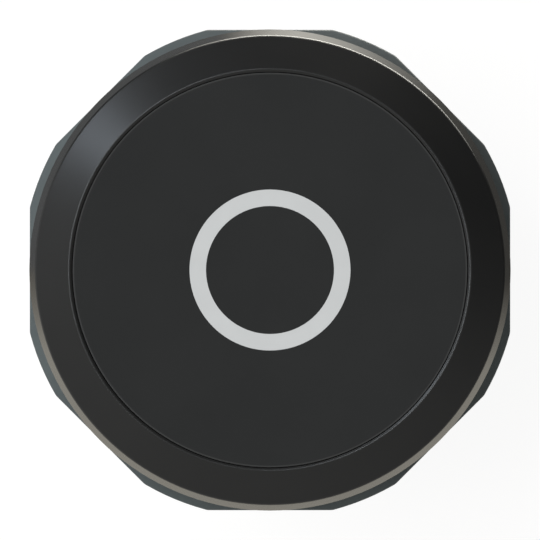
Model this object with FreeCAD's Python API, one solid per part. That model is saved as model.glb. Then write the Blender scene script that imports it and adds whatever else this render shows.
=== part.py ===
"""Screw-in arcade push button for a 30 mm panel hole.

A flat plunger slides in a bevelled bezel whose barrel carries an octagonal lock nut.
Under the barrel's floor a small lever switch, held by a snap-in carrier, takes the stroke.
The origin is the centre of the bezel's panel face, and +Z points out of the panel.
"""

import FreeCAD, Part
import math
import os

V = FreeCAD.Vector
UP = V(0, 0, 1)
ALONG_Y = V(0, 1, 0)

# Driving dimensions in millimetres

# Stroke and working clearances
travel = 2.0
slide_clearance = 0.1
stop_clearance = 0.05
floor_clearance = 0.3
touch_clearance = 0.05
lever_clearance = 0.1
slot_clearance = 0.3
fit_clearance = 0.1
thread_clearance = 0.05

# Plunger
head_diameter = 27.0
head_chamfer = 0.2
head_step = 0.7
face_recess = 0.1
skirt_diameter = head_diameter - 2 * head_step
skirt_length = 10.1
skirt_wall = 1.4
plate_thickness = 2.0
post_diameter = 4.8
rib_count = 6
rib_thickness = 1.0
rib_height = 1.6

# Snap legs inside the plunger's skirt
leg_width = 4.8
leg_thickness = 1.4
leg_gap = 0.4
leg_offset = skirt_diameter / 2 - skirt_wall - leg_gap - leg_thickness
leg_flex_room = 0.7
barb_reach = 1.0
barb_height = 2.1

# Barrel behind the panel, round the plunger's skirt
barrel_wall = 1.7
thread_diameter = skirt_diameter + 2 * (slide_clearance + barrel_wall)
collar_stand = 0.25
collar_diameter = thread_diameter + 2 * collar_stand
collar_length = 2.0
step_depth = 1.6
floor_thickness = 1.6
spring_recess_depth = 0.5

# Bezel, seen from the front
flange_overhang = 1.65
flange_diameter = collar_diameter + 2 * flange_overhang
flange_height = 3.8
shoulder_height = 2.4
side_draft = 0.4
edge_diameter = flange_diameter - 2 * side_draft
edge_chamfer = 0.1
lip_width = 0.3
lip_height = 0.18

# Ring moulded into the plunger's face
ring_outer_diameter = 11.0
ring_band = 1.125
ring_inner_diameter = ring_outer_diameter - 2 * ring_band
ring_depth = 0.4

# Return spring
spring_wire = 0.4
spring_post_gap = 0.5
spring_side_gap = 0.2
spring_turns = 4
spring_wire_sides = 4
spring_end_gap = 0.02

# Lock nut, its flats in line with the flange's rim
nut_sides = 8
nut_across_flats = flange_diameter
nut_corner_stand = 0.5
nut_across_corners = nut_across_flats + 2 * nut_corner_stand
nut_height = 7.0
nut_chamfer_inset = 0.6
nut_chamfer_angle = 30.0
panel_thickness = 3.0

# Switch body
case_length = 20.4
case_width = 10.4
case_wall = 1.4
case_roof = 1.2
case_floor = 0.9
cover_thickness = 1.4
plinth_inset = 1.2
plinth_stand = 1.0
pin_diameter = 1.4
boss_wall = 0.7
boss_inset = 0.9

# Switch actuator
actuator_diameter = 3.0
actuator_stand = 2.6
actuator_flange_diameter = 4.6
actuator_flange_thickness = 0.75
nose_radius = 0.8
nose_drop = 0.35
nose_width = 2.0

# Contact arm and contacts
lever_length = 6.8
contact_reach = 10.2
arm_tip = 1.4
arm_length = contact_reach + arm_tip
arm_width = 3.2
arm_thickness = 0.4
saddle_radius = 0.35
contact_diameter = 1.8
contact_height = 0.5
bow_thickness = 0.2
bow_width = 2.4
bow_offset = 4.2
bow_opening = 1.2

# Terminals
terminal_thickness = 0.5
tab_width = 2.8
tab_length = 8.0
tab_taper = 0.7
tab_hole_diameter = 1.2
tab_hole_from_end = 3.0

# Snap-in switch carrier
carrier_thickness = 2.2
lug_width = 4.0
lug_reach = 0.6
lug_height = 1.2
lug_from_end = 0.5
key_width = 2.0
key_reach = 1.1
key_height = 1.2

# Heights along the button's axis, worked down from the panel face
lip_z = flange_height
face_z = lip_z - face_recess
step_z = -step_depth
head_bottom_z = step_z + travel + stop_clearance
plate_under_z = face_z - plate_thickness
skirt_bottom_z = face_z - skirt_length
floor_top_z = skirt_bottom_z - travel - floor_clearance
floor_bottom_z = floor_top_z - floor_thickness
spring_recess_z = floor_top_z - spring_recess_depth
case_top_z = floor_bottom_z
actuator_top_z = case_top_z + actuator_stand
post_bottom_z = actuator_top_z + touch_clearance
barb_top_z = floor_bottom_z - stop_clearance
leg_bottom_z = barb_top_z - barb_height
cavity_top_z = case_top_z - case_roof
flange_top_z = cavity_top_z - touch_clearance
flange_bottom_z = flange_top_z - actuator_flange_thickness
nose_z = flange_bottom_z - nose_drop

# The arm swings evenly either side of level over the stroke
tilt = math.atan(travel / 2 / lever_length)
pivot_x = -lever_length
pivot_z = nose_z - travel / 2 - nose_radius - lever_clearance - arm_thickness - saddle_radius
arm_contact_low_z = (
    pivot_z
    - (contact_reach + contact_diameter / 2) * math.sin(tilt)
    + (saddle_radius - contact_height) * math.cos(tilt)
)
fixed_contact_top_z = arm_contact_low_z - touch_clearance
shelf_top_z = fixed_contact_top_z - contact_height
cavity_floor_z = shelf_top_z - terminal_thickness
case_shoulder_z = cavity_floor_z - case_floor
barrel_end_z = case_shoulder_z - carrier_thickness
plinth_bottom_z = barrel_end_z - plinth_stand
tab_end_z = plinth_bottom_z - tab_length
nut_top_z = -panel_thickness
nut_bottom_z = nut_top_z - nut_height

# Radii and half widths that fits share
head_radius = head_diameter / 2
bore_radius = head_radius + slide_clearance
skirt_radius = skirt_diameter / 2
guide_radius = skirt_radius + slide_clearance
post_radius = post_diameter / 2
spring_radius = post_radius + spring_post_gap + spring_wire / 2
spring_recess_radius = spring_radius + spring_wire / 2 + spring_side_gap
post_hole_radius = post_radius + slot_clearance
carrier_radius = guide_radius - fit_clearance
lug_radius = carrier_radius + lug_reach
lug_bottom_z = barrel_end_z + lug_from_end
lug_top_z = lug_bottom_z + lug_height
actuator_hole_radius = actuator_diameter / 2 + slide_clearance
plinth_half_length = case_length / 2 - plinth_inset
plinth_half_width = case_width / 2 - plinth_inset
cavity_half_length = case_length / 2 - case_wall
cover_inner_y = case_width / 2 - cover_thickness
boss_radius = pin_diameter / 2 + boss_wall
boss_x = cavity_half_length - boss_inset
boss_z = cavity_top_z - boss_inset
terminal_x = lever_length


def revolved(outline):
    """Solid of revolution about Z from (radius, height) corners."""
    points = [V(r, 0, z) for r, z in outline]
    face = Part.Face(Part.makePolygon(points + points[:1]))
    return outward(face.revolve(V(0, 0, 0), UP, 360))


def prism(corners, depth):
    """Solid of a flat outline pushed along depth."""
    face = Part.Face(Part.makePolygon(corners + corners[:1]))
    return outward(face.extrude(depth))


def outward(solid):
    """The same solid with its faces turned outwards."""
    if solid.Volume < 0:
        solid.reverse()
    return solid


def block(x, y, z):
    """Box between (low, high) pairs along the three axes."""
    return Part.makeBox(x[1] - x[0], y[1] - y[0], z[1] - z[0], V(x[0], y[0], z[0]))


def centred(width):
    """(low, high) pair of a width centred on zero."""
    return -width / 2, width / 2


def rod(radius, low_z, high_z, x=0.0):
    """Upright cylinder."""
    return Part.makeCylinder(radius, high_z - low_z, V(x, 0, low_z), UP)


def cross_rod(radius, low_y, high_y, x, z):
    """Cylinder along Y."""
    return Part.makeCylinder(radius, high_y - low_y, V(x, low_y, z), ALONG_Y)


def turned(shape, degrees, axis=UP, centre=V(0, 0, 0)):
    """A copy of shape turned about an axis through centre."""
    copy = shape.copy()
    copy.rotate(centre, axis, degrees)
    return copy


def coil_spring(mean_radius, wire, low_z, high_z, turns):
    """Open-ended compression spring whose wire lies between the two heights."""
    start_z = low_z + wire / 2
    height = high_z - low_z - wire
    path = Part.makeHelix(height / turns, height, mean_radius)
    path.translate(V(0, 0, start_z))
    step = 2 * math.pi / spring_wire_sides
    corners = [
        V(mean_radius + wire / 2 * math.cos(n * step), 0, start_z + wire / 2 * math.sin(n * step))
        for n in range(spring_wire_sides)
    ]
    section = Part.makePolygon(corners + corners[:1])
    return outward(Part.Wire(path.Edges).makePipeShell([section], True, True))


def bezel_body():
    """Bevelled flange and threaded barrel, moulded with the floor that carries the spring."""
    thread_radius = thread_diameter / 2
    body = revolved(
        [
            (bore_radius, lip_z - lip_height),
            (bore_radius + lip_width, lip_z),
            (edge_diameter / 2 - edge_chamfer, shoulder_height),
            (edge_diameter / 2, shoulder_height - edge_chamfer),
            (flange_diameter / 2, 0),
            (collar_diameter / 2, 0),
            (collar_diameter / 2, -collar_length),
            (thread_radius, -collar_length),
            (thread_radius, barrel_end_z),
            (guide_radius, barrel_end_z),
            (guide_radius, floor_bottom_z),
            (post_hole_radius, floor_bottom_z),
            (post_hole_radius, spring_recess_z),
            (spring_recess_radius, spring_recess_z),
            (spring_recess_radius, floor_top_z),
            (guide_radius, floor_top_z),
            (guide_radius, step_z),
            (bore_radius, step_z),
        ]
    )
    leg_slot = block(
        centred(leg_width + 2 * slot_clearance),
        (leg_offset - leg_flex_room, leg_offset + leg_thickness + slot_clearance),
        (floor_bottom_z, floor_top_z),
    )
    lug_pocket = block(
        centred(lug_width + 2 * fit_clearance),
        (carrier_radius - lug_reach, lug_radius + fit_clearance),
        (lug_bottom_z - touch_clearance, lug_top_z + touch_clearance),
    )
    key_notch = block(
        (carrier_radius - key_reach, thread_radius),
        centred(key_width + 2 * fit_clearance),
        (barrel_end_z, barrel_end_z + key_height + fit_clearance),
    )
    pairs = [turned(cutter, half) for cutter in (leg_slot, lug_pocket) for half in (0, 180)]
    return body.cut([*pairs, key_notch])


def plunger():
    """Flat-faced plunger with its skirt, push post, ribs and two snap legs."""
    skirt_inner = skirt_radius - skirt_wall
    body = revolved(
        [
            (0, face_z),
            (head_radius - head_chamfer, face_z),
            (head_radius, face_z - head_chamfer),
            (head_radius, head_bottom_z),
            (skirt_radius, head_bottom_z),
            (skirt_radius, skirt_bottom_z),
            (skirt_inner, skirt_bottom_z),
            (skirt_inner, plate_under_z),
            (post_radius, plate_under_z),
            (post_radius, post_bottom_z),
            (0, post_bottom_z),
        ]
    )
    rib = block(
        (spring_recess_radius, skirt_inner + skirt_wall / 2),
        centred(rib_thickness),
        (plate_under_z - rib_height, plate_under_z + plate_thickness / 2),
    )
    ribs = [turned(rib, 360 * n / rib_count) for n in range(rib_count)]
    leg = snap_leg()
    body = body.fuse([*ribs, leg, turned(leg, 180)]).removeSplitter()
    return body.cut(ring_inlay())


def snap_leg():
    """Springy leg that hangs from the plunger's plate and hooks under the barrel's floor."""
    inner = leg_offset
    outer = leg_offset + leg_thickness
    barb = outer + barb_reach
    left = -leg_width / 2
    outline = [
        (inner, plate_under_z + plate_thickness / 2),
        (inner, leg_bottom_z),
        (outer, leg_bottom_z),
        (barb, barb_top_z - barb_height / 3),
        (barb, barb_top_z),
        (outer, barb_top_z),
        (outer, plate_under_z + plate_thickness / 2),
    ]
    return prism([V(left, y, z) for y, z in outline], V(leg_width, 0, 0))


def ring_inlay():
    """Pale ring moulded flush into the plunger's face."""
    outer, inner = ring_outer_diameter / 2, ring_inner_diameter / 2
    low_z = face_z - ring_depth
    return revolved([(inner, low_z), (outer, low_z), (outer, face_z), (inner, face_z)])


def return_spring():
    """Spring that lifts the plunger, between the floor's recess and the plunger's plate."""
    return coil_spring(
        spring_radius,
        spring_wire,
        spring_recess_z + spring_end_gap,
        plate_under_z - spring_end_gap,
        spring_turns,
    )


def lock_nut():
    """Octagonal nut with turned corners and a cone on both faces."""
    corner_radius = nut_across_corners / 2
    bore = thread_diameter / 2 + thread_clearance
    cone_radius = nut_across_flats / 2 - nut_chamfer_inset
    drop = (corner_radius - cone_radius) * math.tan(math.radians(nut_chamfer_angle))
    turned_blank = revolved(
        [
            (bore, nut_top_z),
            (cone_radius, nut_top_z),
            (corner_radius, nut_top_z - drop),
            (corner_radius, nut_bottom_z + drop),
            (cone_radius, nut_bottom_z),
            (bore, nut_bottom_z),
        ]
    )
    half_side = math.pi / nut_sides
    vertex_radius = nut_across_flats / 2 / math.cos(half_side)
    vertices = [
        V(
            vertex_radius * math.cos((2 * n + 1) * half_side),
            vertex_radius * math.sin((2 * n + 1) * half_side),
            nut_bottom_z,
        )
        for n in range(nut_sides)
    ]
    return turned_blank.common(prism(vertices, V(0, 0, nut_height)))


def switch_carrier():
    """Disc that snaps into the barrel's end and holds the switch up against the floor."""
    disc = rod(carrier_radius, barrel_end_z, case_shoulder_z)
    key = block(
        (carrier_radius - key_reach, carrier_radius + key_reach),
        centred(key_width),
        (barrel_end_z, barrel_end_z + key_height),
    )
    lug_outline = [
        (carrier_radius - lug_reach, lug_bottom_z),
        (lug_radius, lug_bottom_z),
        (lug_radius, (lug_bottom_z + lug_top_z) / 2),
        (carrier_radius - lug_reach, lug_top_z),
    ]
    lug = prism([V(-lug_width / 2, y, z) for y, z in lug_outline], V(lug_width, 0, 0))
    window = block(
        centred(2 * (plinth_half_length + fit_clearance)),
        centred(2 * (plinth_half_width + fit_clearance)),
        (barrel_end_z, case_shoulder_z),
    )
    return disc.fuse([key, lug, turned(lug, 180)]).removeSplitter().cut(window)


def pin_places():
    """The axes of the two pins that join the switch's halves, as (x, z)."""
    return [(-boss_x, boss_z), (boss_x, boss_z)]


def terminal_slot(x):
    """Slot through the switch's base that a terminal strip stands in."""
    half = terminal_thickness / 2 + touch_clearance
    return block(
        (x - half, x + half),
        centred(tab_width + 2 * touch_clearance),
        (plinth_bottom_z, cavity_floor_z),
    )


def switch_case():
    """Open-sided switch case with its plinth, pin bosses and terminal slots."""
    low_y = -case_width / 2
    shell = block(centred(case_length), (low_y, cover_inner_y), (case_shoulder_z, case_top_z))
    plinth = block(
        centred(2 * plinth_half_length),
        centred(2 * plinth_half_width),
        (plinth_bottom_z, case_shoulder_z),
    )
    cavity = block(
        centred(2 * cavity_half_length),
        (low_y + case_wall, cover_inner_y),
        (cavity_floor_z, cavity_top_z),
    )
    bosses = [cross_rod(boss_radius, low_y, cover_inner_y, x, z) for x, z in pin_places()]
    holes = [cross_rod(pin_diameter / 2, low_y, cover_inner_y, x, z) for x, z in pin_places()]
    holes.append(rod(actuator_hole_radius, cavity_top_z, case_top_z))
    holes += [terminal_slot(-terminal_x), terminal_slot(terminal_x)]
    body = shell.fuse(plinth).cut(cavity).fuse(bosses).removeSplitter()
    return body.cut(holes)


def switch_cover():
    """Plate that closes the switch case's open side."""
    outer_y = case_width / 2
    plate = block(centred(case_length), (cover_inner_y, outer_y), (case_shoulder_z, case_top_z))
    pin = pin_diameter / 2
    return plate.cut([cross_rod(pin, cover_inner_y, outer_y, x, z) for x, z in pin_places()])


def cover_pins():
    """The two staked pins that hold the cover to the case."""
    ends = centred(case_width)
    return Part.makeCompound([cross_rod(pin_diameter / 2, *ends, x, z) for x, z in pin_places()])


def switch_actuator():
    """Push pin of the switch, with a retaining flange and a rounded nose across the arm."""
    stem = rod(actuator_diameter / 2, flange_top_z, actuator_top_z)
    flange = rod(actuator_flange_diameter / 2, flange_bottom_z, flange_top_z)
    nose = cross_rod(nose_radius, *centred(nose_width), 0, nose_z)
    web = block(centred(2 * nose_radius), centred(nose_width), (nose_z, flange_bottom_z))
    return stem.fuse([flange, nose, web]).removeSplitter()


def placed_on_arm(shape):
    """Carries a shape drawn about a level arm's pivot to the arm's place at rest."""
    placed = turned(shape, -math.degrees(tilt), ALONG_Y)
    placed.translate(V(pivot_x, 0, pivot_z))
    return placed


def contact_arm():
    """Sprung arm whose curled end rocks on the common terminal's top edge."""
    outer = saddle_radius + arm_thickness
    low_y, high_y = centred(arm_width)
    curl = cross_rod(outer, low_y, high_y, 0, 0).cut(cross_rod(saddle_radius, low_y, high_y, 0, 0))
    upper_half = block((-outer, outer), (low_y, high_y), (0, outer))
    blade = block((0, arm_length), (low_y, high_y), (saddle_radius, outer))
    return placed_on_arm(curl.common(upper_half).fuse(blade).removeSplitter())


def arm_contact():
    """Contact button under the arm's free end."""
    return placed_on_arm(
        rod(contact_diameter / 2, saddle_radius - contact_height, saddle_radius, contact_reach)
    )


def fixed_contact():
    """Contact button on the output terminal's shelf."""
    x = pivot_x + contact_reach * math.cos(tilt)
    return rod(contact_diameter / 2, shelf_top_z, fixed_contact_top_z, x)


def push_on_tab(x, top_z):
    """Upright terminal strip with a tapered, pierced push-on end."""
    half = tab_width / 2
    low_x = x - terminal_thickness / 2
    outline = [
        (-half, top_z),
        (-half, tab_end_z + tab_taper),
        (-half + tab_taper, tab_end_z),
        (half - tab_taper, tab_end_z),
        (half, tab_end_z + tab_taper),
        (half, top_z),
    ]
    strip = prism([V(low_x, y, z) for y, z in outline], V(terminal_thickness, 0, 0))
    hole_at = V(low_x, 0, tab_end_z + tab_hole_from_end)
    return strip.cut(
        Part.makeCylinder(tab_hole_diameter / 2, terminal_thickness, hole_at, V(1, 0, 0))
    )


def common_terminal():
    """Terminal whose rounded top edge is the arm's fulcrum."""
    edge = cross_rod(terminal_thickness / 2, *centred(tab_width), pivot_x, pivot_z)
    return push_on_tab(-terminal_x, pivot_z).fuse(edge).removeSplitter()


def output_terminal():
    """Terminal bent over into a shelf under the arm's contact."""
    shelf_start = pivot_x + contact_reach * math.cos(tilt) - contact_diameter / 2 - fit_clearance
    shelf = block(
        (shelf_start, terminal_x + terminal_thickness / 2),
        centred(tab_width),
        (cavity_floor_z, shelf_top_z),
    )
    return push_on_tab(terminal_x, cavity_floor_z).fuse(shelf).removeSplitter()


def bow_spring():
    """Bowed leaf under the arm that lifts it off the fixed contact."""
    x = pivot_x + bow_offset
    foot_z = cavity_floor_z + spring_end_gap
    height_at_arm = (
        bow_offset * math.sin(tilt)
        + (pivot_z - foot_z) * math.cos(tilt)
        + saddle_radius
        - touch_clearance
    )
    outer = height_at_arm / (1 + math.cos(tilt))
    z = foot_z + outer
    ends = centred(bow_width)
    leaf = cross_rod(outer, *ends, x, z).cut(cross_rod(outer - bow_thickness, *ends, x, z))
    opening = block((x, x + outer), ends, (z - bow_opening / 2, z + bow_opening / 2))
    return leaf.cut(opening)


pieces = [
    bezel_body,
    plunger,
    ring_inlay,
    return_spring,
    lock_nut,
    switch_carrier,
    switch_case,
    switch_cover,
    cover_pins,
    switch_actuator,
    contact_arm,
    arm_contact,
    fixed_contact,
    common_terminal,
    output_terminal,
    bow_spring,
]

os.makedirs("parts", exist_ok=True)
for make in pieces:
    make().exportStep(f"parts/{make.__name__}.step")

print(f"barrel end {barrel_end_z:.3f}, tab end {tab_end_z:.3f}, floor underside {floor_bottom_z:.3f}")
print(f"arm pivot x {pivot_x:.3f} z {pivot_z:.3f}, swing {2 * math.degrees(tilt):.4f} degrees")
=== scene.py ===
import bmesh
import bpy
import math
from mathutils import Matrix, Vector


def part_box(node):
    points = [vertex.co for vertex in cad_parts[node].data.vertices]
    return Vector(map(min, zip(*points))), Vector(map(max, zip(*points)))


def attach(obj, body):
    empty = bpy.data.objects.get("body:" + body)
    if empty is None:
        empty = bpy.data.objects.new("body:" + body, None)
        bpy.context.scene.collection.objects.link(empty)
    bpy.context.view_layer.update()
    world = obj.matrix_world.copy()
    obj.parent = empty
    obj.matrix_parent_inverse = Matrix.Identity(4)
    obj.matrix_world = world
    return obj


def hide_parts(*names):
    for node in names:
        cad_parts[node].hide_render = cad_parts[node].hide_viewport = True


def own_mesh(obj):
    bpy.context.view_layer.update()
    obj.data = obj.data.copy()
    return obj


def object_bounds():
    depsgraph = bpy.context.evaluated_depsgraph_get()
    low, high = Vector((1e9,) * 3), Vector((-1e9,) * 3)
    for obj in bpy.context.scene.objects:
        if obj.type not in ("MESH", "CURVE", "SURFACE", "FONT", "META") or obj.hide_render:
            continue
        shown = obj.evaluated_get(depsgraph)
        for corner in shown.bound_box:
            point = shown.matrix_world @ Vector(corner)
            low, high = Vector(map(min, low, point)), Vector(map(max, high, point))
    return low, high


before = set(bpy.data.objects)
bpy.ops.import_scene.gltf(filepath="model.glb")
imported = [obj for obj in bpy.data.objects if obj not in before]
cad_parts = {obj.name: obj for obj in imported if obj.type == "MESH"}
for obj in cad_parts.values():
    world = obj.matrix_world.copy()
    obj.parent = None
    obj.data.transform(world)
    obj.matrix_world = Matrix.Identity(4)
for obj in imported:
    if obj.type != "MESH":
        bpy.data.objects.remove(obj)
cadLow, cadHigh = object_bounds()
mm = 0.001
turnSteps = 144                     # faces round a full turn
smoothAngle = math.radians(35)
mergeDistance = 0.001 * mm          # points closer than this become one

bezelLow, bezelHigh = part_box("bezel_body")
plungerLow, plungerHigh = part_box("plunger")
ringLow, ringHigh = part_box("ring_inlay")
nutLow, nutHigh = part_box("lock_nut")
print("frame loaded,", len(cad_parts), "nodes")


# Material helpers

tonePlaces = (0.35, 0.65)           # noise values between which one tone turns into the other
noiseRoughness = 0.55
cloudDetail = 3
fineDetail = 2


def startMaterial(name):
    material = bpy.data.materials.new(name)
    material.use_nodes = True
    return material, material.node_tree, material.node_tree.nodes["Principled BSDF"]


def addNode(tree, kind, **values):
    node = tree.nodes.new(kind)
    for key, value in values.items():
        if key in node.inputs:
            node.inputs[key].default_value = value
        else:
            setattr(node, key, value)
    return node


def objectNoise(tree, size, detail, stretch=(1, 1, 1)):
    coords = addNode(tree, "ShaderNodeTexCoord")
    place = addNode(tree, "ShaderNodeMapping", Scale=stretch)
    noise = addNode(tree, "ShaderNodeTexNoise", Scale=1 / (size * mm), Detail=detail,
                    Roughness=noiseRoughness)
    tree.links.new(coords.outputs["Object"], place.inputs["Vector"])
    tree.links.new(place.outputs["Vector"], noise.inputs["Vector"])
    return noise


def setStops(ramp, stops):            # pairs of place and colour, lowest place first
    marks = ramp.color_ramp.elements
    for place, _ in stops[1:-1]:
        marks.new(place)
    for mark, (place, colour) in zip(marks, stops):
        mark.position = place
        mark.color = (*colour, 1)


def twoTones(tree, noise, shader, tones):
    ramp = addNode(tree, "ShaderNodeValToRGB")
    setStops(ramp, list(zip(tonePlaces, tones)))
    tree.links.new(noise.outputs["Fac"], ramp.inputs["Fac"])
    tree.links.new(ramp.outputs["Color"], shader.inputs["Base Color"])


def varyRoughness(tree, noise, shader, low, high):
    spread = addNode(tree, "ShaderNodeMapRange")
    spread.inputs["To Min"].default_value = low
    spread.inputs["To Max"].default_value = high
    tree.links.new(noise.outputs["Fac"], spread.inputs["Value"])
    tree.links.new(spread.outputs["Result"], shader.inputs["Roughness"])


def bumpFrom(tree, noise, shader, strength, depth):
    bump = addNode(tree, "ShaderNodeBump", Strength=strength, Distance=depth * mm)
    tree.links.new(noise.outputs["Fac"], bump.inputs["Height"])
    tree.links.new(bump.outputs["Normal"], shader.inputs["Normal"])


def acrossRadius(tree, inner, outer):
    coords = addNode(tree, "ShaderNodeTexCoord")
    flat = addNode(tree, "ShaderNodeVectorMath", operation="MULTIPLY")
    flat.inputs[1].default_value = (1, 1, 0)
    radius = addNode(tree, "ShaderNodeVectorMath", operation="LENGTH")
    share = addNode(tree, "ShaderNodeMapRange", interpolation_type="SMOOTHSTEP")
    share.inputs["From Min"].default_value = inner * mm
    share.inputs["From Max"].default_value = outer * mm
    tree.links.new(coords.outputs["Object"], flat.inputs[0])
    tree.links.new(flat.outputs["Vector"], radius.inputs[0])
    tree.links.new(radius.outputs["Value"], share.inputs["Value"])
    return share


# Painted highlight: the base colour turns to a lighter tone from the inner radius outward, standing in for
# an edge glint.
def paintHighlightRim(tree, shader, rim):
    share = acrossRadius(tree, *rim["between"])
    mix = addNode(tree, "ShaderNodeMix", data_type="RGBA")
    mix.inputs["B"].default_value = (*rim["tone"], 1)
    colour = shader.inputs["Base Color"]
    tree.links.new(colour.links[0].from_socket, mix.inputs["A"])
    tree.links.new(share.outputs["Result"], mix.inputs["Factor"])
    tree.links.new(mix.outputs["Result"], colour)


def smoothenRim(tree, shader, rim):
    share = acrossRadius(tree, *rim["between"])
    share.inputs["To Max"].default_value = rim["smoother"]
    rest = addNode(tree, "ShaderNodeMath", operation="SUBTRACT")
    roughness = shader.inputs["Roughness"]
    tree.links.new(roughness.links[0].from_socket, rest.inputs[0])
    tree.links.new(share.outputs["Result"], rest.inputs[1])
    tree.links.new(rest.outputs["Value"], roughness)


def mouldedPlastic(name, look):
    material, tree, shader = startMaterial(name)
    shader.inputs["Specular IOR Level"].default_value = look["specular"]
    cloud = objectNoise(tree, look["cloudSize"], cloudDetail)
    grain = objectNoise(tree, look["grainSize"], fineDetail)
    twoTones(tree, cloud, shader, look["tones"])
    varyRoughness(tree, cloud, shader, *look["roughness"])
    bumpFrom(tree, grain, shader, look["grainStrength"], look["grainDepth"])
    if "paintedHighlightRim" in look:
        paintHighlightRim(tree, shader, look["paintedHighlightRim"])
    if "smoothRim" in look:
        smoothenRim(tree, shader, look["smoothRim"])
    return material


def workedMetal(name, look):
    material, tree, shader = startMaterial(name)
    shader.inputs["Metallic"].default_value = 1
    cloud = objectNoise(tree, look["cloudSize"], cloudDetail)
    lines = objectNoise(tree, look["lineSize"], fineDetail, look["lineStretch"])
    twoTones(tree, cloud, shader, look["tones"])
    varyRoughness(tree, lines, shader, *look["roughness"])
    bumpFrom(tree, lines, shader, look["lineStrength"], look["lineDepth"])
    return material


# Finishes, sizes in millimetres

bezelPlastic = mouldedPlastic("bezelPlastic", dict(
    tones=((0.0055, 0.0056, 0.0058), (0.0068, 0.0069, 0.0070)), roughness=(0.33, 0.37), specular=0.5,
    cloudSize=6, grainSize=0.09, grainStrength=0.04, grainDepth=0.004,
    smoothRim=dict(between=(16.0, 16.1), smoother=0.09)))
plungerPlastic = mouldedPlastic("plungerPlastic", dict(
    tones=((0.0190, 0.0197, 0.0198), (0.0210, 0.0217, 0.0218)), roughness=(0.62, 0.70), specular=0.12,
    cloudSize=5, grainSize=0.07, grainStrength=0.10, grainDepth=0.006,
    # the lighter tone from 13.4 mm outward is a painted highlight on the cap's rounded edge
    paintedHighlightRim=dict(between=(13.36, 13.40), tone=(0.0395, 0.040, 0.040))))
ringPlastic = mouldedPlastic("ringPlastic", dict(
    tones=((0.548, 0.559, 0.564), (0.566, 0.577, 0.582)), roughness=(0.55, 0.65), specular=0.15,
    cloudSize=2, grainSize=0.07, grainStrength=0.08, grainDepth=0.005))
nutPlastic = mouldedPlastic("nutPlastic", dict(
    tones=((0.076, 0.090, 0.093), (0.088, 0.104, 0.1075)), roughness=(0.5, 0.6), specular=0.25,
    cloudSize=4, grainSize=0.12, grainStrength=0.12, grainDepth=0.010))
switchPlastic = mouldedPlastic("switchPlastic", dict(
    tones=((0.026, 0.026, 0.027), (0.036, 0.036, 0.037)), roughness=(0.45, 0.58), specular=0.4,
    cloudSize=3, grainSize=0.10, grainStrength=0.15, grainDepth=0.010))
actuatorPlastic = mouldedPlastic("actuatorPlastic", dict(
    tones=((0.70, 0.69, 0.65), (0.78, 0.77, 0.73)), roughness=(0.3, 0.4), specular=0.5,
    cloudSize=1.5, grainSize=0.06, grainStrength=0.08, grainDepth=0.004))
springSteel = workedMetal("springSteel", dict(
    tones=((0.50, 0.50, 0.51), (0.60, 0.60, 0.61)), roughness=(0.25, 0.4),
    cloudSize=1.5, lineSize=0.05, lineStretch=(1, 1, 0.2), lineStrength=0.2, lineDepth=0.003))
pinSteel = workedMetal("pinSteel", dict(
    tones=((0.55, 0.55, 0.55), (0.65, 0.65, 0.64)), roughness=(0.3, 0.42),
    cloudSize=1.0, lineSize=0.05, lineStretch=(1, 0.15, 1), lineStrength=0.2, lineDepth=0.003))
contactBrass = workedMetal("contactBrass", dict(
    tones=((0.68, 0.48, 0.22), (0.76, 0.56, 0.28)), roughness=(0.28, 0.4),
    cloudSize=1.5, lineSize=0.06, lineStretch=(0.1, 1, 1), lineStrength=0.2, lineDepth=0.003))
contactSilver = workedMetal("contactSilver", dict(
    tones=((0.82, 0.82, 0.81), (0.88, 0.88, 0.87)), roughness=(0.22, 0.34),
    cloudSize=0.6, lineSize=0.05, lineStretch=(1, 1, 1), lineStrength=0.15, lineDepth=0.002))
terminalTin = workedMetal("terminalTin", dict(
    tones=((0.43, 0.42, 0.40), (0.53, 0.52, 0.49)), roughness=(0.26, 0.42),
    cloudSize=1.8, lineSize=0.07, lineStretch=(1, 1, 0.08), lineStrength=0.25, lineDepth=0.004))
print("materials made,", len(bpy.data.materials))


# Mesh helpers

def drawLine(shell, places, closed=True):
    points = [shell.verts.new(place) for place in places]
    nextPoints = points[1:] + points[:1] if closed else points[1:]
    lines = [shell.edges.new(pair) for pair in zip(points, nextPoints)]
    return points, lines


def spunShell(outline):
    shell = bmesh.new()
    onAxis = outline[0][0] == 0 and outline[-1][0] == 0
    places = [(radius * mm, 0, height * mm) for radius, height in outline]
    points, lines = drawLine(shell, places, closed=not onAxis)
    bmesh.ops.spin(shell, geom=points + lines, cent=(0, 0, 0), axis=(0, 0, 1), dvec=(0, 0, 0),
                   angle=2 * math.pi, steps=turnSteps, use_merge=True)
    bmesh.ops.remove_doubles(shell, verts=shell.verts, dist=mergeDistance)
    bmesh.ops.recalc_face_normals(shell, faces=shell.faces)
    return shell


def roundEdges(shell, edges, size, segments):
    bmesh.ops.bevel(shell, geom=edges, offset=size * mm, offset_type="OFFSET", affect="EDGES",
                    segments=segments, profile=0.5, material=-1, clamp_overlap=True)


def roundRing(shell, radius, height, size, segments):
    def onRing(vert):
        return (abs(math.hypot(vert.co.x, vert.co.y) - radius * mm) < 2 * mergeDistance
                and abs(vert.co.z - height * mm) < 2 * mergeDistance)
    ring = [edge for edge in shell.edges if all(onRing(vert) for vert in edge.verts)]
    roundEdges(shell, ring, size, segments)


def closeTube(shell):
    openEnds = [edge for edge in shell.edges if edge.is_boundary]
    bmesh.ops.edgeloop_fill(shell, edges=openEnds)
    bmesh.ops.recalc_face_normals(shell, faces=shell.faces)


def addBlock(shell, x, y, z, turn=0.0):
    low, high = Vector((x[0], y[0], z[0])) * mm, Vector((x[1], y[1], z[1])) * mm
    place = Matrix.Translation((low + high) / 2) @ Matrix.Diagonal((*(high - low), 1))
    bmesh.ops.create_cube(shell, size=1, matrix=Matrix.Rotation(turn, 4, "Z") @ place)


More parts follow.
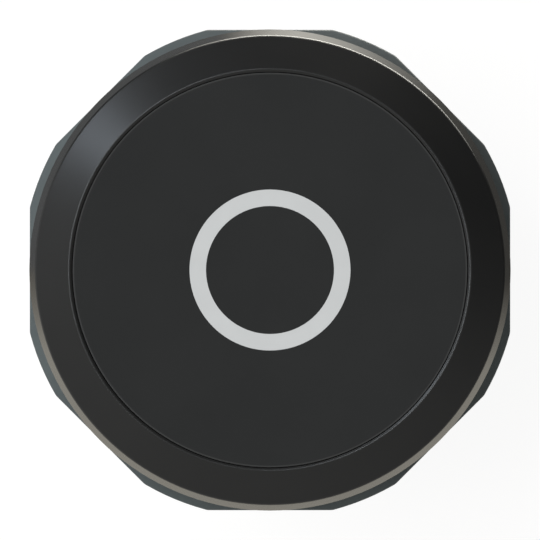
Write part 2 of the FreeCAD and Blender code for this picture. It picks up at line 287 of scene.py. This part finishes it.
def toObject(shell, name):
    mesh = bpy.data.meshes.new(name)
    shell.to_mesh(mesh)
    shell.free()
    piece = bpy.data.objects.new(name, mesh)
    bpy.context.scene.collection.objects.link(piece)
    return piece


def combine(piece, tool, operation):
    step = piece.modifiers.new(operation.lower(), "BOOLEAN")
    step.operation, step.solver, step.object = operation, "EXACT", tool
    shapes = bpy.context.evaluated_depsgraph_get()
    result = bpy.data.meshes.new_from_object(piece.evaluated_get(shapes))
    piece.modifiers.clear()
    piece.data = result
    bpy.data.objects.remove(tool)


def finishPiece(piece, material, body, node=None):
    piece.data.materials.clear()
    piece.data.materials.append(material)
    piece.data.polygons.foreach_set("use_smooth", [True] * len(piece.data.polygons))
    piece.data.set_sharp_from_angle(angle=smoothAngle)
    normals = piece.modifiers.new("evenNormals", "WEIGHTED_NORMAL")
    normals.keep_sharp = True
    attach(piece, body)
    if node:
        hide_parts(node)


# Bezel and barrel, one moulding

bezel = dict(
    boreRadius=13.55, chamferWidth=0.188, chamferAngle=31, lipRound=0.10,
    coneAngle=33.2, edgeRadius=16.07, edgeRound=0.16, rimRound=0.06, lipSegments=8, otherSegments=4,
    collarRadius=14.85, collarLength=2.0, collarRound=0.12,
    rootRadius=14.05, reliefDrop=0.35, endRound=0.25,
    guideRadius=12.9, stepDrop=1.6, floorTop=-8.7, floorBottom=-10.3,
    postHole=2.7, springRecess=3.5, recessBottom=-9.2,
    legSlot=((-2.7, 2.7), (8.9, 11.3), (-10.5, -8.5)),
    lugPocket=((-2.1, 2.1), (12.2, 13.5), (-20.763, -19.463)),
    keyNotch=((11.7, 15.0), (-1.1, 1.1), (-21.5, -19.913)))


def makeBezel(size):
    flangeRadius, lipTop, barrelEnd = bezelHigh.x / mm, bezelHigh.z / mm, bezelLow.z / mm
    cone, chamfer = math.radians(size["coneAngle"]), math.radians(size["chamferAngle"])
    crestCurve = size["lipRound"] / math.tan((cone + chamfer) / 2)
    lipCorner = lipTop + size["lipRound"] * math.sin(chamfer) - crestCurve * (1 - math.cos(chamfer))
    lipRadius = size["boreRadius"] + size["chamferWidth"]
    edgeDrop = (size["edgeRadius"] - lipRadius) * math.tan(cone)
    rings = dict(
        lip=(lipRadius, lipCorner),                   # the round brings it down to lipTop
        edge=(size["edgeRadius"], lipCorner - edgeDrop),
        rim=(flangeRadius, 0),
        collar=(size["collarRadius"], -size["collarLength"]),
        end=(size["rootRadius"], barrelEnd))
    shell = spunShell([
        rings["lip"], rings["edge"], rings["rim"],
        (size["collarRadius"], 0), rings["collar"],
        (size["rootRadius"], -size["collarLength"] - size["reliefDrop"]), rings["end"],
        (size["guideRadius"], barrelEnd), (size["guideRadius"], size["floorBottom"]),
        (size["postHole"], size["floorBottom"]), (size["postHole"], size["recessBottom"]),
        (size["springRecess"], size["recessBottom"]), (size["springRecess"], size["floorTop"]),
        (size["guideRadius"], size["floorTop"]), (size["guideRadius"], -size["stepDrop"]),
        (size["boreRadius"], -size["stepDrop"]),
        (size["boreRadius"], lipCorner - size["chamferWidth"] * math.tan(chamfer))])
    for name, ring in rings.items():
        segments = size["lipSegments"] if name == "lip" else size["otherSegments"]
        roundRing(shell, *ring, size[name + "Round"], segments)
    piece = toObject(shell, "bezelBody")
    cuts = bmesh.new()
    for half in (0, math.pi):
        addBlock(cuts, *size["legSlot"], half)
        addBlock(cuts, *size["lugPocket"], half)
    addBlock(cuts, *size["keyNotch"])
    combine(piece, toObject(cuts, "bezelCuts"), "DIFFERENCE")
    finishPiece(piece, bezelPlastic, "housing", "bezel_body")


makeBezel(bezel)
print("bezel made")


# Thread on the barrel

thread = dict(crestRadius=14.6, rootRadius=13.95, pitch=1.5, crestWidth=0.32, rootWidth=1.1,
              top=-1.4, bottom=-19.7, stepsPerTurn=72, fadeTurns=0.35)


def makeThread(size):
    ridge = bmesh.new()
    crestHalf, rootHalf = size["crestWidth"] / 2, size["rootWidth"] / 2
    corners = [(size["rootRadius"], rootHalf), (size["crestRadius"], crestHalf),
               (size["crestRadius"], -crestHalf), (size["rootRadius"], -rootHalf)]
    places = [(radius * mm, 0, (size["top"] + height) * mm) for radius, height in corners]
    points, lines = drawLine(ridge, places)
    turns = (size["top"] - size["bottom"]) / size["pitch"]
    steps = round(turns * size["stepsPerTurn"])
    drop = -size["pitch"] / size["stepsPerTurn"] * mm
    bmesh.ops.spin(ridge, geom=points + lines, cent=(0, 0, 0), axis=(0, 0, 1), dvec=(0, 0, drop),
                   angle=2 * math.pi * steps / size["stepsPerTurn"], steps=steps, use_merge=False)
    depth = size["crestRadius"] - size["rootRadius"]
    for count, vert in enumerate(ridge.verts):          # the ridge sinks into the barrel at its end
        left = (steps - count // len(corners)) / size["stepsPerTurn"]
        if left < size["fadeTurns"]:
            radius = math.hypot(vert.co.x, vert.co.y)
            shorter = radius - depth * mm * (1 - left / size["fadeTurns"])
            vert.co.x *= shorter / radius
            vert.co.y *= shorter / radius
    closeTube(ridge)
    finishPiece(toObject(ridge, "barrelThread"), bezelPlastic, "housing")


makeThread(thread)
print("thread made")


# Plunger

plunger = dict(
    headRound=0.045, headSegments=4, ringWidth=1.125, headBottom=0.45,
    skirtRadius=12.8, skirtInner=11.4, skirtBottom=-6.4, plateUnder=1.7, postRadius=2.4, postBottom=-7.65,
    ribCount=6, rib=((3.5, 12.1), (-0.5, 0.5), (0.1, 2.7)),
    legWidth=4.8, legInner=9.6, legOuter=11.0, legTop=2.7, barbReach=12.0, barbTop=-10.35, barbFace=0.7)


def addLeg(shell, size, turn):
    legBottom = plungerLow.z / mm
    outline = [(size["legInner"], size["legTop"]), (size["legInner"], legBottom),
               (size["legOuter"], legBottom), (size["barbReach"], size["barbTop"] - size["barbFace"]),
               (size["barbReach"], size["barbTop"]), (size["legOuter"], size["barbTop"]),
               (size["legOuter"], size["legTop"])]
    side = [shell.verts.new((-size["legWidth"] / 2 * mm, y * mm, z * mm)) for y, z in outline]
    flat = shell.faces.new(side)
    grown = bmesh.ops.extrude_face_region(shell, geom=[flat])["geom"]
    moved = [part for part in grown if isinstance(part, bmesh.types.BMVert)]
    bmesh.ops.translate(shell, verts=moved, vec=(size["legWidth"] * mm, 0, 0))
    bmesh.ops.rotate(shell, verts=side + moved, cent=(0, 0, 0), matrix=Matrix.Rotation(turn, 3, "Z"))


def makePlunger(size):
    headRadius, faceTop = plungerHigh.x / mm, plungerHigh.z / mm
    ringInner, ringOuter = ringHigh.x / mm - size["ringWidth"], ringHigh.x / mm
    ringBottom = ringLow.z / mm
    shell = spunShell([
        (0, faceTop), (ringInner, faceTop), (ringInner, ringBottom), (ringOuter, ringBottom),
        (ringOuter, faceTop), (headRadius, faceTop), (headRadius, size["headBottom"]),
        (size["skirtRadius"], size["headBottom"]), (size["skirtRadius"], size["skirtBottom"]),
        (size["skirtInner"], size["skirtBottom"]), (size["skirtInner"], size["plateUnder"]),
        (size["postRadius"], size["plateUnder"]), (size["postRadius"], size["postBottom"]),
        (0, size["postBottom"])])
    roundRing(shell, headRadius, faceTop, size["headRound"], size["headSegments"])
    piece = toObject(shell, "plungerHead")
    inner = bmesh.new()
    for count in range(size["ribCount"]):
        addBlock(inner, *size["rib"], 2 * math.pi * count / size["ribCount"])
    for half in (0, math.pi):
        addLeg(inner, size, half)
    bmesh.ops.recalc_face_normals(inner, faces=inner.faces)
    combine(piece, toObject(inner, "plungerInside"), "UNION")
    finishPiece(piece, plungerPlastic, "button", "plunger")


makePlunger(plunger)
print("plunger made")


# Lock nut

nut = dict(boreRadius=14.65, coneRadius=15.9, cornerRadius=17.05, coneAngle=30, sides=8,
           edgeRound=0.1, edgeSegments=3, edgeAngle=8)


def makeNut(size):
    flatRadius, top, bottom = nutHigh.x / mm, nutHigh.z / mm, nutLow.z / mm
    drop = (size["cornerRadius"] - size["coneRadius"]) * math.tan(math.radians(size["coneAngle"]))
    blank = spunShell([
        (size["boreRadius"], top), (size["coneRadius"], top),
        (size["cornerRadius"], top - drop), (size["cornerRadius"], bottom + drop),
        (size["coneRadius"], bottom), (size["boreRadius"], bottom)])
    for count in range(size["sides"]):
        turn = 2 * math.pi * count / size["sides"]
        outward = Vector((math.cos(turn), math.sin(turn), 0))
        cut = bmesh.ops.bisect_plane(
            blank, geom=blank.verts[:] + blank.edges[:] + blank.faces[:], dist=mergeDistance / 10,
            plane_co=outward * flatRadius * mm, plane_no=outward, clear_outer=True)
        rim = [part for part in cut["geom_cut"] if isinstance(part, bmesh.types.BMEdge)]
        bmesh.ops.edgeloop_fill(blank, edges=rim)
    bmesh.ops.recalc_face_normals(blank, faces=blank.faces)
    sharp = [edge for edge in blank.edges if edge.calc_face_angle(0) > math.radians(size["edgeAngle"])]
    roundEdges(blank, sharp, size["edgeRound"], size["edgeSegments"])
    finishPiece(toObject(blank, "lockNut"), nutPlastic, "nut", "lock_nut")


makeNut(nut)
print("nut made")


# Springs

coil = dict(wire=0.4, wireSides=12, turns=4, stepsPerTurn=48)
leaf = dict(thickness=0.2, opening=1.2, steps=48, pressedShare=0.665)       # share of its free height


def makeCoil(size):
    low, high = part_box("return_spring")
    wireRadius = size["wire"] / 2 * mm
    steps = size["turns"] * size["stepsPerTurn"]
    rise = Vector((0, 0, (high.z - low.z - 2 * wireRadius) / steps))
    start = Matrix.Translation((high.x - wireRadius, 0, low.z + wireRadius))
    upright = Matrix.Rotation(math.pi / 2, 4, "X")
    shell = bmesh.new()
    bmesh.ops.create_circle(shell, segments=size["wireSides"], radius=wireRadius, matrix=start @ upright)
    bmesh.ops.spin(shell, geom=shell.verts[:] + shell.edges[:], cent=(0, 0, 0), axis=(0, 0, 1), dvec=rise,
                   angle=2 * math.pi * size["turns"], steps=steps, use_merge=False)
    closeTube(shell)
    piece = toObject(shell, "returnCoil")
    finishPiece(piece, springSteel, "housing", "return_spring")
    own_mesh(piece)


def makeLeaf(size):
    low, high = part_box("bow_spring")
    outer = (high.z - low.z) / 2
    inner = outer - size["thickness"] * mm
    centre = Vector((low.x + outer, 0, low.z + outer))
    gap = math.asin(size["opening"] * mm / 2 / outer)
    shell = bmesh.new()
    corners = [(outer, low.y, 0), (outer, high.y, 0), (inner, high.y, 0), (inner, low.y, 0)]
    section, lines = drawLine(shell, corners)
    bmesh.ops.rotate(shell, verts=section, cent=(0, 0, 0), matrix=Matrix.Rotation(-gap, 3, "Y"))
    bmesh.ops.translate(shell, verts=section, vec=centre)
    bmesh.ops.spin(shell, geom=section + lines, cent=centre, axis=(0, 1, 0), dvec=(0, 0, 0),
                   angle=2 * gap - 2 * math.pi, steps=size["steps"], use_merge=False)
    closeTube(shell)
    piece = toObject(shell, "bowLeaf")
    finishPiece(piece, springSteel, "housing", "bow_spring")
    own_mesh(piece)


makeCoil(coil)
makeLeaf(leaf)
print("springs made")


# Ring inlay

inlay = dict(width=plunger["ringWidth"])


def makeInlay(size):
    outer, low, high = ringHigh.x / mm, ringLow.z / mm, ringHigh.z / mm
    inner = outer - size["width"]
    shell = spunShell([(inner, low), (outer, low), (outer, high), (inner, high)])
    finishPiece(toObject(shell, "ringInlay"), ringPlastic, "button", "ring_inlay")


makeInlay(inlay)
print("inlay made")


# Pieces that keep the CAD form and get softened edges

softening = dict(flatAngle=0.5, edgeAngle=30, segments=2)
softened = {
    "switch_carrier": dict(
        name="switchCarrier", finish=switchPlastic, body="housing", slot="switch_plastic", round=0.12,
        pinMarks=dict(reach=9.8, turns=(60, 120, 240, 300), radius=0.9, depth=0.08, sides=32)),
    "switch_case": dict(
        name="switchCase", finish=switchPlastic, body="housing", slot="switch_plastic", round=0.10),
    "switch_cover": dict(
        name="switchCover", finish=switchPlastic, body="housing", slot="switch_plastic", round=0.10),
    "cover_pins": dict(
        name="coverPins", finish=pinSteel, body="housing", slot="pin_steel", round=0.08),
    "switch_actuator": dict(
        name="switchActuator", finish=actuatorPlastic, body="actuator", slot="actuator_plastic",
        round=0.06),
    "contact_arm": dict(
        name="contactArm", finish=contactBrass, body="arm", slot="contact_brass", round=0.04),
    "arm_contact": dict(
        name="armContact", finish=contactSilver, body="arm", slot="contact_silver", round=0.08),
    "fixed_contact": dict(
        name="fixedContact", finish=contactSilver, body="housing", slot="contact_silver", round=0.08),
    "common_terminal": dict(
        name="commonTerminal", finish=terminalTin, body="housing", slot="terminal_tin", round=0.05),
    "output_terminal": dict(
        name="outputTerminal", finish=terminalTin, body="housing", slot="terminal_tin", round=0.05),
}


def pressPinMarks(piece, node, marks):
    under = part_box(node)[0].z
    pins = bmesh.new()
    for turn in marks["turns"]:
        outward = Matrix.Translation((marks["reach"] * mm, 0, under))
        place = Matrix.Rotation(math.radians(turn), 4, "Z") @ outward
        bmesh.ops.create_cone(pins, cap_ends=True, segments=marks["sides"], radius1=marks["radius"] * mm,
                              radius2=marks["radius"] * mm, depth=2 * marks["depth"] * mm, matrix=place)
    combine(piece, toObject(pins, "moulderPins"), "DIFFERENCE")


def softenNode(node, look, way):
    shell = bmesh.new()
    shell.from_mesh(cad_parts[node].data)
    bmesh.ops.remove_doubles(shell, verts=shell.verts, dist=mergeDistance)
    bmesh.ops.dissolve_limit(shell, angle_limit=math.radians(way["flatAngle"]),
                             verts=shell.verts, edges=shell.edges)
    piece = toObject(shell, look["name"])
    if "pinMarks" in look:
        pressPinMarks(piece, node, look["pinMarks"])
    edges = piece.modifiers.new("softEdges", "BEVEL")
    edges.width, edges.segments = look["round"] * mm, way["segments"]
    edges.limit_method, edges.angle_limit = "ANGLE", math.radians(way["edgeAngle"])
    finishPiece(piece, look["finish"], look["body"], node)


for node, look in softened.items():
    softenNode(node, look, softening)
print("softened pieces made,", len(softened))


# Floor, sky, lamps and cards: floor and lamps in metres, angles in degrees

stage = dict(
    floorHalf=1.5, floorTone=(0.88, 0.87, 0.85), floorRoughness=0.9,
    whiteShare=0.85, whiteGlow=1.06,          # what the camera and reflections see of the floor
    skyAzimuth=209, skyTone=(1.0, 1.0, 0.965),
    skyLevels=((0.03, 0.075), (0.30, 0.42), (1.0, 0.55)))     # place and level, dark side first
wattShare = 4                       # watts for each square metre of a lamp at a radiance of 1
lamps = dict(
    key=dict(azimuth=142, polar=66.4, distance=0.45, width=0.06, height=0.20, radiance=7.2,
             tone=(0.80, 0.89, 1.0), shine=True),
    main=dict(azimuth=160, polar=29, distance=0.9, width=0.7, height=0.7, radiance=3.07,
              tone=(1.0, 1.0, 1.0), shine=False))
cardSteps = 72
# Cards are seen in reflections only. Their ends are a radius and a height in millimetres,
# and shares grade a card's glow along its turn.
cards = dict(
    softTop=dict(turn=(104, 190), near=(150, 200), far=(150, 330), glow=9.2, tone=(0.90, 0.95, 1.0)),
    greyBack=dict(turn=(76, 122), near=(150, 20), far=(150, 110), glow=0.15, tone=(1.0, 1.0, 1.0)),
    edgeStrip=dict(turn=(28, 115), near=(40, -15.5), far=(40, -8.0), glow=26.0, tone=(1.0, 0.97, 0.89),
                   shares=((28, 0.0), (40, 0.36), (60, 0.83), (75, 1.0), (86, 1.0), (95, 0.78),
                           (104, 0.33), (115, 0.0))),
    lowBack=dict(turn=(-3, 101), near=(19.5, -29.5), far=(60, -29.5), glow=1.34, tone=(1.0, 0.97, 0.88),
                 shares=((-3, 0.08), (28, 0.08), (45, 0.09), (60, 0.36), (82, 1.0), (89, 0.85),
                         (101, 0.15))),
    lowLeft=dict(turn=(101, 180), near=(19.5, -29.5), far=(60, -29.5), glow=0.195, tone=(0.98, 1.0, 1.0)),
    lowFront=dict(turn=(-180, -3), near=(19.5, -29.5), far=(60, -29.5), glow=0.7, tone=(1.0, 0.95, 0.83),
                  shares=((-180, 0.32), (-160, 1.0), (-25, 0.9), (-3, 0.15))),
    wallRing=dict(turn=(-180, 180), near=(60, -29.5), far=(60, 1.5), glow=0.7, tone=(1.0, 1.0, 1.0),
                  shares=((-180, 1.0), (-155, 0.9), (-120, 0.72), (-30, 0.5), (-5, 0.14), (60, 0.14),
                          (110, 0.2), (140, 0.25), (160, 0.9))))


def aimed(azimuth, polar, distance):
    turn, tilt = math.radians(azimuth), math.radians(polar)
    across = math.sin(tilt)
    return Vector((across * math.cos(turn), across * math.sin(turn), math.cos(tilt))) * distance


def makeFloor(look):
    shell = bmesh.new()
    bmesh.ops.create_grid(shell, x_segments=1, y_segments=1, size=look["floorHalf"],
                          matrix=Matrix.Translation((0, 0, cadLow.z)))
    floor = toObject(shell, "floor")
    material, tree, shader = startMaterial("floorPaper")
    shader.inputs["Base Color"].default_value = (*look["floorTone"], 1)
    shader.inputs["Roughness"].default_value = look["floorRoughness"]
    glow = addNode(tree, "ShaderNodeEmission", Strength=look["whiteGlow"])
    path = addNode(tree, "ShaderNodeLightPath")
    share = addNode(tree, "ShaderNodeMath", operation="MULTIPLY")
    share.inputs[1].default_value = look["whiteShare"]
    mix = addNode(tree, "ShaderNodeMixShader")
    seen = path.outputs["Is Camera Ray"]
    for ray in ("Is Glossy Ray", "Is Transmission Ray"):
        either = addNode(tree, "ShaderNodeMath", operation="MAXIMUM")
        tree.links.new(seen, either.inputs[0])
        tree.links.new(path.outputs[ray], either.inputs[1])
        seen = either.outputs[0]
    tree.links.new(seen, share.inputs[0])
    tree.links.new(share.outputs[0], mix.inputs["Fac"])
    tree.links.new(shader.outputs["BSDF"], mix.inputs[1])
    tree.links.new(glow.outputs["Emission"], mix.inputs[2])
    tree.links.new(mix.outputs["Shader"], tree.nodes["Material Output"].inputs["Surface"])
    floor.data.materials.append(material)


def makeSky(look):
    world = bpy.data.worlds.new("studioSky")
    world.use_nodes = True
    bpy.context.scene.world = world
    tree = world.node_tree
    back = tree.nodes["Background"]
    coords = addNode(tree, "ShaderNodeTexCoord")
    along = addNode(tree, "ShaderNodeVectorMath", operation="DOT_PRODUCT")
    along.inputs[1].default_value = aimed(look["skyAzimuth"], 90, 1)
    share = addNode(tree, "ShaderNodeMapRange")
    share.inputs["From Min"].default_value = -1
    level = addNode(tree, "ShaderNodeValToRGB")
    setStops(level, [(place, Vector(look["skyTone"]) * glow) for place, glow in look["skyLevels"]])
    tree.links.new(coords.outputs["Generated"], along.inputs[0])
    tree.links.new(along.outputs["Value"], share.inputs["Value"])
    tree.links.new(share.outputs["Result"], level.inputs["Fac"])
    tree.links.new(level.outputs["Color"], back.inputs["Color"])


def makeLamp(name, look):
    lamp = bpy.data.lights.new(name + "Lamp", "AREA")
    lamp.shape, lamp.size, lamp.size_y = "RECTANGLE", look["width"], look["height"]
    lamp.energy = wattShare * look["width"] * look["height"] * look["radiance"]
    lamp.color = look["tone"]
    holder = bpy.data.objects.new(name + "Lamp", lamp)
    holder.location = aimed(look["azimuth"], look["polar"], look["distance"])
    holder.rotation_euler = holder.location.to_track_quat("Z", "Y").to_euler()
    holder.visible_camera = False
    holder.visible_glossy = look["shine"]
    bpy.context.scene.collection.objects.link(holder)


def glowByTurn(tree, shader, look):
    coords = addNode(tree, "ShaderNodeTexCoord")
    turn = addNode(tree, "ShaderNodeTexGradient", gradient_type="RADIAL")     # 0 at -180 degrees, 1 at 180
    level = addNode(tree, "ShaderNodeValToRGB")
    tone = Vector(look["tone"])
    setStops(level, [((angle + 180) / 360, tone * share) for angle, share in look["shares"]])
    tree.links.new(coords.outputs["Object"], turn.inputs["Vector"])
    tree.links.new(turn.outputs["Fac"], level.inputs["Fac"])
    tree.links.new(level.outputs["Color"], shader.inputs["Emission Color"])


def makeCard(name, look):
    shell = bmesh.new()
    places = [(radius * mm, 0, height * mm) for radius, height in (look["near"], look["far"])]
    ends, lines = drawLine(shell, places, closed=False)
    start, stop = (math.radians(angle) for angle in look["turn"])
    bmesh.ops.rotate(shell, verts=ends, cent=(0, 0, 0), matrix=Matrix.Rotation(start, 3, "Z"))
    bmesh.ops.spin(shell, geom=ends + lines, cent=(0, 0, 0), axis=(0, 0, 1), dvec=(0, 0, 0),
                   angle=stop - start, steps=cardSteps, use_merge=False)
    card = toObject(shell, name + "Card")
    material, tree, shader = startMaterial(name + "Card")
    shader.inputs["Base Color"].default_value = (0, 0, 0, 1)
    shader.inputs["Specular IOR Level"].default_value = 0
    shader.inputs["Emission Color"].default_value = (*look["tone"], 1)
    shader.inputs["Emission Strength"].default_value = look["glow"]
    if "shares" in look:
        glowByTurn(tree, shader, look)
    card.data.materials.append(material)
    card.visible_camera = card.visible_diffuse = card.visible_shadow = card.visible_transmission = False


makeFloor(stage)
makeSky(stage)
for name, look in lamps.items():
    makeLamp(name, look)
for name, look in cards.items():
    makeCard(name, look)
print("floor, sky, lamps and cards made")


# Camera, straight above the face

view = dict(lens=1400, sensor=36, field=36.91)      # field is the width seen at the face
camera = bpy.data.objects.new("camera", bpy.data.cameras.new("camera"))
camera.data.lens, camera.data.sensor_width = view["lens"], view["sensor"]
camera.location.z = plungerHigh.z + view["field"] * mm * view["lens"] / view["sensor"]
bpy.context.scene.collection.objects.link(camera)
bpy.context.scene.camera = camera
bpy.context.scene.view_settings.view_transform = "Standard"
